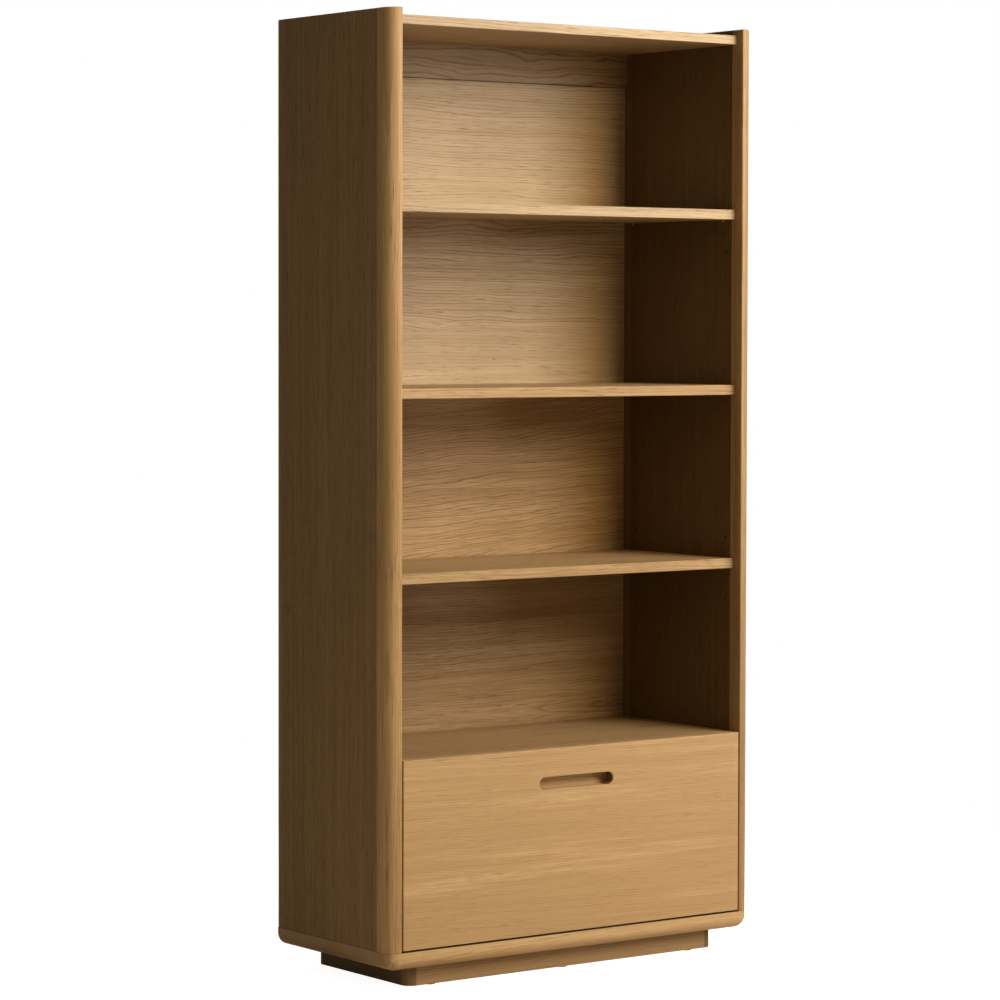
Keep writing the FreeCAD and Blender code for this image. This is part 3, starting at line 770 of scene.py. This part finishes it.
# Each channel: its name, the body that it rides on, and the side that it opens to.
MEMBERS = (("cabinet", "case", 1), ("middle", "{}_slide_middle", 1), ("drawer", "drawer", -1))
channels = []
for side in SIDES:
    for member, body, opens in MEMBERS:
        node = side + "_slide_" + member + "_member"
        low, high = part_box(node)
        outline = rolled_outline(low, high, opens if side == "left" else -opens)
        channels.append(put(node + "_rolled", [carried_along_y(outline, low.y, high.y)],
                            body.format(side), [node]))

# %% [markdown]
# ## Ball cages
# A cage is a thin strip that keeps the balls apart. The CAD model has its outer block.
# Here it is a strip with a row of steel balls, each a small sphere: point = centre +
# radius (sin v cos u, sin v sin u, cos v), with few faces because there are many.

# %% Ball cages
BALLS = 9
CAGE_STRIP = 0.0009
CAGE_EDGE = 0.0003
POLE_ANGLE = 0.12


def ball(centre, radius, sides=10, rows=7):
    """A sphere as closed rings, the poles being tiny rings."""
    v = np.linspace(POLE_ANGLE, np.pi - POLE_ANGLE, rows)[:, None]
    u = (np.arange(sides) * 2 * np.pi / sides)[None]
    unit = np.stack([np.sin(v) * np.cos(u), np.sin(v) * np.sin(u), -np.cos(v) + 0 * u], 2)
    return centre + radius * unit


def strip_block(low, high, ease=CAGE_EDGE):
    """A flat bar along Y as rings of eight points, its long edges cut at 45 degrees."""
    x0, y0, z0 = low
    x1, y1, z1 = high
    outline = np.array([(x0 + ease, z0), (x1 - ease, z0), (x1, z0 + ease), (x1, z1 - ease),
                        (x1 - ease, z1), (x0 + ease, z1), (x0, z1 - ease), (x0, z0 + ease)])
    return carried_along_y(outline, y0, y1)


def cage_grids(low, high):
    """One cage in its CAD box: the strip in its middle height, and a row of balls in it."""
    tall = high[2] - low[2]
    middle = (low + high) / 2
    flat = np.array([0, 0, (tall - CAGE_STRIP) / 2])
    row = low[1] + (high[1] - low[1]) * (np.arange(BALLS) + 0.5) / BALLS
    balls = [ball(np.array([middle[0], place, middle[2]]), tall / 2) for place in row]
    return [strip_block(low + flat, high - flat)] + balls


cages = []
for side in SIDES:
    for place in ("outer", "inner"):
        node = side + "_slide_" + place + "_ball_cages"
        grids = []
        for points in solids(node):
            grids += cage_grids(points.min(0), points.max(0))
        cages.append(put(node + "_with_balls", grids, side + "_" + place + "_cages",
                         [node]))

# %% [markdown]
# ## Which timber goes where
# The sides, shelves, back and drawer front are veneered, so their figure may break where
# one leaf meets the next. Posts, rails and the base board are solid. The hearts and
# leans were matched to each board in the photograph. There the inner faces of the sides
# lie in a deeper shade than plain lamps give, so they get painted shade. It could be a
# second material on those faces, but one box between the outer faces covers them all.

# %% Side walls and posts
LEAF_WIDTH = 0.105
FIRST_LEAF = -0.25
# A line of painted shade where the sides sit on the base board.
BASE_SEAM = ("Z", 0.075, 0.0006)
# Painted shade on the inner faces of the sides, between their outer faces.
INNER_FACE_PAINTED_SHADE = (0.66, ("X", -0.43, 0.43))
# The posts are one oak: their tones differ only as painted light and painted shade.
POST_LIT_AND_SHADED_TONES = {"left": 1.02, "right": 0.79}
SOLID = {"ring": 0.005, "wander": 0.02}
side_leaves = [(FIRST_LEAF + LEAF_WIDTH * number, -0.9 + 0.4 * (number % 3),
                0.004 * (-1) ** number, 1.0) for number in range(5)]
for number, side in enumerate(SIDES):
    dress(side + "_side_panel",
          timber(side + "_panel_oak", BROWN_OAK, "ZYX", 3 + number, side_leaves, ring=0.006,
                 wander=0.03, line=0.9, streak=0.95, pores=1.0, tone=0.84,
                 seams=[BASE_SEAM], painted_shade_box=INNER_FACE_PAINTED_SHADE))
    clad(posts[side],
         timber(side + "_front_post_oak", OAK, "ZXY", 11 + number, one_leaf(0.9, 0.003),
                ring=0.004, wander=0.02, tilt=0.5, streak=0.85, pores=0.7, band=0.5,
                tone=POST_LIT_AND_SHADED_TONES[side]))
    dress(side + "_rear_post",
          timber(side + "_rear_post_oak", OAK, "ZYX", 21 + number, one_leaf(0.4, 0.003),
                 line=0.4, tone=0.76, painted_shade_box=INNER_FACE_PAINTED_SHADE, **SOLID))
print("side leaves start at", [round(leaf[0], 3) for leaf in side_leaves])

# %% [markdown]
# ## Back, shelves and top
# The back is two wide panels, each of several leaves laid flat, one above another. It
# carries the boldest figure of the case, so its leaves are listed one by one: the top is
# nearly straight, the second bay has arches, and the lines of the third rise to the
# right. The lowest bay gets painted shade on its front face, because its shade in the
# photograph is deeper than plain lamps give. The shelves are quieter: straight grain
# that runs on over their front edges, which is why their rings lean through the board
# instead of standing square to it.

# %% Back, shelves and top
BACK_LEAVES = ((0.0, 1.09, 0.01, 0.35), (1.25, 0.95, 0.02, 1.1), (1.385, 1.505, 0.01, 1.5),
               (1.480, 0.9, 0.012, 0.9), (1.72, 1.80, 0.0, 1.0))
LOW_LEAVES = ((0.0, 0.20, 0.0, 0.6), (0.45, 0.47, -0.01, 0.7), (0.785, 0.40, -0.09, 1.3))
# Painted shade on the front face of the lowest bay.
LOWEST_BAY_PAINTED_SHADE = (0.22, ("Z", 0.0, 0.785), ("Y", 0.18, 0.1915))
# The dark line along the rail's lower edge is painted shadow.
RAIL_PAINTED_SHADOW = ("Z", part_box("back_top_rail")[0].z, 0.0018)
dress("upper_back_panel",
      timber("upper_back_oak", PALE_OAK, "XZY", 41, BACK_LEAVES, depth=0.035, ring=0.0062,
             line=0.80, pores=0.7, streak=0.7, tone=0.93, knots=[(0.077, 1.188, 0.003)]))
dress("lower_back_panel",
      timber("lower_back_oak", OAK, "XZY", 42, LOW_LEAVES, depth=0.012, ring=0.0058,
             wander=0.06, line=0.95, pores=0.8, streak=0.8, painted_shade_box=LOWEST_BAY_PAINTED_SHADE,
             knots=[(-0.03, 0.61, 0.003)]))
# The rail's low tone is painted shade under the top panel.
dress("back_top_rail",
      timber("back_rail_oak", OAK, "XZY", 43, one_leaf(1.70, 0.01, 1.7), wander=0.06,
             line=0.9, tone=0.62, seams=[RAIL_PAINTED_SHADOW]))
# Each level: its timber, the place of its heart and its tone.
LEVELS = {"top_panel": (PALE_OAK, 0.45, 0.86), "upper_shelf": (PALE_OAK, -0.35, 0.86),
          "middle_shelf": (OAK, 0.5, 0.86), "lower_shelf": (OAK, -0.4, 0.86),
          "bottom_shelf": (OAK, 0.35, 0.78)}
for number, (board, (palette, heart, tone)) in enumerate(LEVELS.items()):
    dress(board,
          timber(board + "_oak", palette, "XYZ", 31 + number, one_leaf(heart, 0.006),
                 ring=0.005, wander=0.03, tilt=0.8, line=0.6, streak=0.75, pores=0.8,
                 tone=tone))
print("leaves in the back", len(BACK_LEAVES) + len(LOW_LEAVES), "levels", len(LEVELS))

# %% [markdown]
# ## Drawer front, base and plinth
# The drawer front is one leaf with faint growth lines and long silky streaks. The right
# end of its finger slot gets painted shade inside a small box, and so does the base
# board's left end, which the light misses.
# The plinth stands back in the shade, so its tones are low. Its corner pieces are
# upright timber, and a fine dark seam of painted shade shows where the rails meet them.
# Gaps could be modelled there, but a seam that is drawn leaves the CAD pieces as they are.

# %% Drawer front, base and plinth
# Painted shade at the right end of the finger slot and at the base board's left end.
SLOT_END_PAINTED_SHADE = (0.72, ("X", 0.070, 0.1), ("Y", -0.1915, -0.16), ("Z", 0.35, 0.39))
BASE_END_PAINTED_SHADE = (0.32, ("X", -0.46, -0.434))
# The half width of the lines of painted shade where the plinth's rails meet its corners.
PLINTH_SEAM = 0.0008
dress("drawer_front",
      timber("drawer_front_oak", FRONT_OAK, "XZY", 44, one_leaf(0.9, -0.03), ring=0.0045,
             wander=0.03, line=0.45, streak=1.0, pores=0.45, band=0.8, tone=1.02,
             painted_shade_box=SLOT_END_PAINTED_SHADE))
clad(base,
     timber("base_board_oak", FRONT_OAK, "XYZ", 45, one_leaf(0.5, 0.006), tilt=0.7, line=0.4,
            tone=1.12, seams=[BASE_SEAM], painted_shade_box=BASE_END_PAINTED_SHADE, **SOLID))
for end in ("front", "rear"):
    rail = "plinth_" + end + "_rail"
    joints = [("X", corner.x, PLINTH_SEAM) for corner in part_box(rail)]
    dress(rail, timber(rail + "_oak", OAK, "XZY", 46, one_leaf(0.4, 0.004), tilt=0.5,
                       tone=0.72, seams=joints, **SOLID))
    for side in SIDES:
        corner = "plinth_" + side + "_" + end + "_corner"
        dress(corner, timber(corner + "_oak", OAK, "ZYX", 48, one_leaf(0.5, 0.0), tilt=0.7,
                             tone=0.38, seams=joints, **SOLID))
for side in SIDES:
    rail = "plinth_" + side + "_rail"
    dress(rail, timber(rail + "_oak", OAK, "YZX", 47, one_leaf(0.4, 0.004), tilt=0.5,
                       tone=0.28, **SOLID))
print("plinth seams at", [round(place, 4) for _, place, _ in joints])

# %% [markdown]
# ## Drawer box and hidden wood
# A drawer box is made of a plainer timber than its front, here birch, with wide and
# soft growth lines and hardly any pores. Dowels are beech and glue blocks are pine.
# They could share one brown, but a reader who opens the drawer sees the difference.

# %% Drawer box and hidden wood
BOX_BOARD = {"ring": 0.009, "tilt": 0.7, "line": 0.45, "pores": 0.25}
# The subfront's high tone is painted light, for where it shows through the finger slot.
dress("drawer_subfront", timber("drawer_subfront_oak", OAK, "XZY", 51, one_leaf(0.2, 0.01),
                                line=0.5, tone=1.28))
for number, board in enumerate(("drawer_left_side", "drawer_right_side")):
    dress(board, timber(board + "_birch", BIRCH, "YZX", 52 + number, one_leaf(0.6, 0.01),
                        **BOX_BOARD))
dress("drawer_back", timber("drawer_back_birch", BIRCH, "XZY", 54, one_leaf(0.55, 0.01),
                            **BOX_BOARD))
dress("drawer_bottom", timber("drawer_bottom_birch", BIRCH, "XYZ", 55, one_leaf(0.05, 0.02),
                              ring=0.011, wander=0.10, line=0.5, pores=0.25))
dress("plinth_glue_blocks", timber("glue_block_pine", PINE, "ZYX", 56, one_leaf(0.3, 0.0),
                                   ring=0.004, wander=0.01, pores=0.1))
for node in ("case_dowels", "drawer_dowels"):
    dress(node, timber(node + "_beech", BEECH, "XYZ", 57, one_leaf(0.3, 0.0), ring=0.002,
                       wander=0.004, line=0.4))
print("timbers", len(bpy.data.materials))

# %% [markdown]
# ## Metal
# The slides and screws are zinc plated, and the shelf pins are nickel plated. A metal
# shows through its roughness, which a single number can't give: drawn strip has fine
# streaks along its length and dull patches where the plating spangles.

# %% Metal
STREAK_SWINGS = 900.0
SWINGS_ALONG = 12.0
PATCH_SWINGS = (70.0, 70.0, 70.0)
WORN = opaque((0.30, 0.28, 0.25))
SCRATCH_DEPTH = 0.0002


def metal(name, colour, rough, drawn="Y", seed=0):
    """Plated metal: roughness = rough + streaks along the drawn axis + cloudy patches."""

    def build(start):
        place = start.add("TexCoord", output="Object")
        stretch = tuple(SWINGS_ALONG if axis == drawn else STREAK_SWINGS for axis in "XYZ")
        streaks = place.noise(stretch, (seed, 0, 0), 2.0)
        wear = place.noise(PATCH_SWINGS, (0, seed, 0), 3.0, 0.6).ramp(0.55, 0.75)
        tone = streaks.ramp(0.3, 0.7).mixed(opaque(colour), opaque(colour, 0.82))
        tone = tone.tint(wear * 0.5, WORN)
        return tone.add("BsdfPrincipled", None,
                        {"Base Color": tone, "Metallic": 1.0 - wear * 0.25,
                         "Roughness": streaks * 0.12 + wear * 0.2 + rough,
                         "Normal": streaks.bumped(0.15, SCRATCH_DEPTH)})

    return shade(name, build)


zinc = metal("zinc_strip", (0.62, 0.63, 0.63), 0.26)
screw_zinc = metal("screw_zinc", (0.64, 0.62, 0.55), 0.24, "X", 3)
nickel = metal("pin_nickel", (0.66, 0.62, 0.56), 0.16, "X", 5)
for piece in channels + cages:
    clad(piece, zinc)
for piece in screws:
    clad(piece, screw_zinc)
for node in ("upper_shelf_pins", "lower_shelf_pins"):
    dress(node, nickel)
print("metal pieces", len(channels), "channels", len(cages), "cages", len(screws), "screw sets")

# %% [markdown]
# ## Rubber and nylon
# The bumpers are rubber and the glides are nylon. Both come out of a mould, so they have
# no grain direction: only a fine even texture from the mould's wall and slow dull
# patches where they have been touched. A plain colour would look like neither.

# %% Rubber and nylon
MOULD_SWINGS = (900.0, 900.0, 900.0)
TOUCH_SWINGS = (60.0, 60.0, 60.0)
MOULD_DEPTH = 0.0002


def moulded(name, colour, dark, rough):
    """A moulded surface: a fine grain in colour and height over slow dull patches."""

    def build(start):
        place = start.add("TexCoord", output="Object")
        fine = place.noise(MOULD_SWINGS, (0, 0, 0), 2.0)
        slow = place.noise(TOUCH_SWINGS, (3.0, 1.0, 2.0), 2.0)
        tone = (slow.ramp(0.3, 0.7) * 0.6 + fine * 0.3).mixed(opaque(colour), opaque(dark))
        return tone.add("BsdfPrincipled", None,
                        {"Base Color": tone, "Roughness": slow * 0.2 + rough,
                         "Normal": fine.bumped(0.3, MOULD_DEPTH)})

    return shade(name, build)


dress("drawer_bumpers", moulded("grey_rubber", (0.10, 0.095, 0.09), (0.05, 0.047, 0.045), 0.65))
dress("floor_glides", moulded("brown_nylon", (0.14, 0.085, 0.05), (0.08, 0.048, 0.028), 0.38))
print("materials", len(bpy.data.materials))

# %% [markdown]
# ## Lamps
# The photograph has one soft main light from the front right, high up. Here it is two
# softboxes side by side, a wide cool one and a narrow golden one, so that the edge of
# the shade in each bay turns golden. Weaker ones stand to the right of it, below and
# above, and all of them face the case squarely. A sun lamp would be simpler, but its
# shade has hard edges. A strip beside the left post draws out its rounding, a faint
# fill lies low on the left, and a lamp behind shows the back to whoever walks round.

# %% Lamps
LAMP_DISTANCE = 3.0
WHITE = (1.0, 1.0, 1.0)
COOL = (0.80, 0.89, 1.0)
WARM = (1.0, 0.92, 0.78)
GOLDEN = (1.0, 0.86, 0.58)


def area_light(name, place, target, width, tall, watts, colour=WHITE):
    """A rectangular lamp at a place, facing a target."""
    data = bpy.data.lights.new(name, "AREA")
    data.shape = "RECTANGLE"
    data.size = width
    data.size_y = tall
    data.energy = watts
    data.color = colour
    lamp = bpy.data.objects.new(name, data)
    lamp.location = place
    lamp.rotation_euler = (Vector(target) - Vector(place)).to_track_quat("-Z", "Y").to_euler()
    bpy.context.scene.collection.objects.link(lamp)
    print(name, "watts", watts)
    return lamp


def softbox(name, across, height, width, tall, watts, colour=WHITE):
    """A lamp in the plane y = -LAMP_DISTANCE that faces the case squarely."""
    place = (across, -LAMP_DISTANCE, height)
    area_light(name, place, (across, 0, height), width, tall, watts, colour)


softbox("key_softbox", across=1.67, height=2.90, width=1.26, tall=2.5, watts=190, colour=COOL)
softbox("key_warm_side", across=0.77, height=2.90, width=0.54, tall=2.5, watts=70,
        colour=GOLDEN)
softbox("right_softbox", across=3.6, height=3.4, width=0.6, tall=1.8, watts=95)
softbox("low_softbox", across=3.2, height=0.9, width=1.2, tall=0.6, watts=29)
softbox("high_softbox", across=-0.3, height=4.4, width=1.2, tall=0.6, watts=24)
area_light("left_fill", (-3.0, 0.8, 0.4), (0, 0, 0.4), width=1.2, tall=0.8, watts=4)
strip = area_light("post_strip", (-1.05, -1.1, 1.25), (-0.43, -0.15, 1.25), width=0.3,
                   tall=2.3, watts=5.0, colour=WARM)
strip.visible_camera = False
area_light("back_softbox", (1.6, 3.2, 2.4), (0.0, 0.2, 1.0), width=1.6, tall=1.6, watts=70)

# %% [markdown]
# ## The world
# The world is white where the camera looks at it and dim where it lights the wood,
# because a bright world would wash the shade out of the bays. A sheet of white behind
# the case could do the same for one view, but not for the others.

# %% World
DIM_ROOM = (0.028, 0.025, 0.019, 1)
ROOM_IN_GLOSS = (0.32, 0.30, 0.27, 1)
PURE_WHITE = (1, 1, 1, 1)


def make_world():
    """White to camera and transmission rays, grey in a gloss, dim and warm as a light."""
    world = bpy.data.worlds.new("studio")
    world.use_nodes = True
    tree = world.node_tree
    tree.nodes.clear()
    camera_ray = Wire(tree).add("LightPath", output="Is Camera Ray")
    seen = camera_ray.maths("MAXIMUM", camera_ray, camera_ray.other("Is Transmission Ray"))
    lit = camera_ray.other("Is Glossy Ray").mixed(DIM_ROOM, ROOM_IN_GLOSS)
    colour = lit.tint(seen, PURE_WHITE)
    background = colour.add("Background", None, {"Color": colour, "Strength": 1.0})
    output = tree.nodes.new("ShaderNodeOutputWorld")
    tree.links.new(background.socket, output.inputs["Surface"])
    bpy.context.scene.world = world


make_world()

# %% [markdown]
# ## The floor
# The floor is pale paper. To the camera it glows nearly white near the case, so that a
# soft shadow still shows, and wholly white further off, so that it meets the white world
# with no line. Brighter lamps would whiten it too, but they would bleach the oak.

# %% Floor
FLOOR_HALF = 12.0
GLOW_STARTS = 0.7
GLOW_FULL = 2.2
PAPER_SWINGS = (180.0, 180.0, 180.0)
PAPER = (0.60, 0.54, 0.45, 1)
PAPER_FIBRE = (0.58, 0.52, 0.43, 1)
NEAR_GLOW = (0.94, 0.94, 0.94, 1)


def floor_paper(start):
    """Paper under the lamps, plus to the camera a glow that grows with distance."""
    place = start.add("TexCoord", output="Object")
    length = place.add("VectorMath", {"operation": "LENGTH"}, {0: place}, "Value")
    paper = place.noise(PAPER_SWINGS, (0, 0, 0), 2.0).mixed(PAPER, PAPER_FIBRE)
    pale = paper.add("BsdfDiffuse", None, {"Color": paper})
    near = start.add("Emission", None, {"Color": NEAR_GLOW, "Strength": 1.0})
    white = start.add("Emission", None, {"Color": PURE_WHITE, "Strength": 1.0})
    lit = start.add("AddShader", None, {0: pale, 1: near})
    seen = start.add("MixShader", None,
                     {0: length.ramp(GLOW_STARTS, GLOW_FULL), 1: lit, 2: white})
    camera_ray = start.add("LightPath", output="Is Camera Ray")
    return start.add("MixShader", None, {0: camera_ray, 1: pale, 2: seen})


def make_floor():
    """A large square on z = 0."""
    mesh = bpy.data.meshes.new("floor")
    corners = [(-FLOOR_HALF, -FLOOR_HALF, 0), (FLOOR_HALF, -FLOOR_HALF, 0),
               (FLOOR_HALF, FLOOR_HALF, 0), (-FLOOR_HALF, FLOOR_HALF, 0)]
    mesh.from_pydata(corners, [], [(0, 1, 2, 3)])
    mesh.materials.append(shade("floor_paper", floor_paper))
    floor = bpy.data.objects.new("floor", mesh)
    bpy.context.scene.collection.objects.link(floor)
    print("floor", 2 * FLOOR_HALF, "metres square")


make_floor()

# %% [markdown]
# ## Finish
# The view transform stays Standard, so a colour shows as it was typed.

# %% Finish
scene = bpy.context.scene
scene.view_settings.view_transform = "Standard"
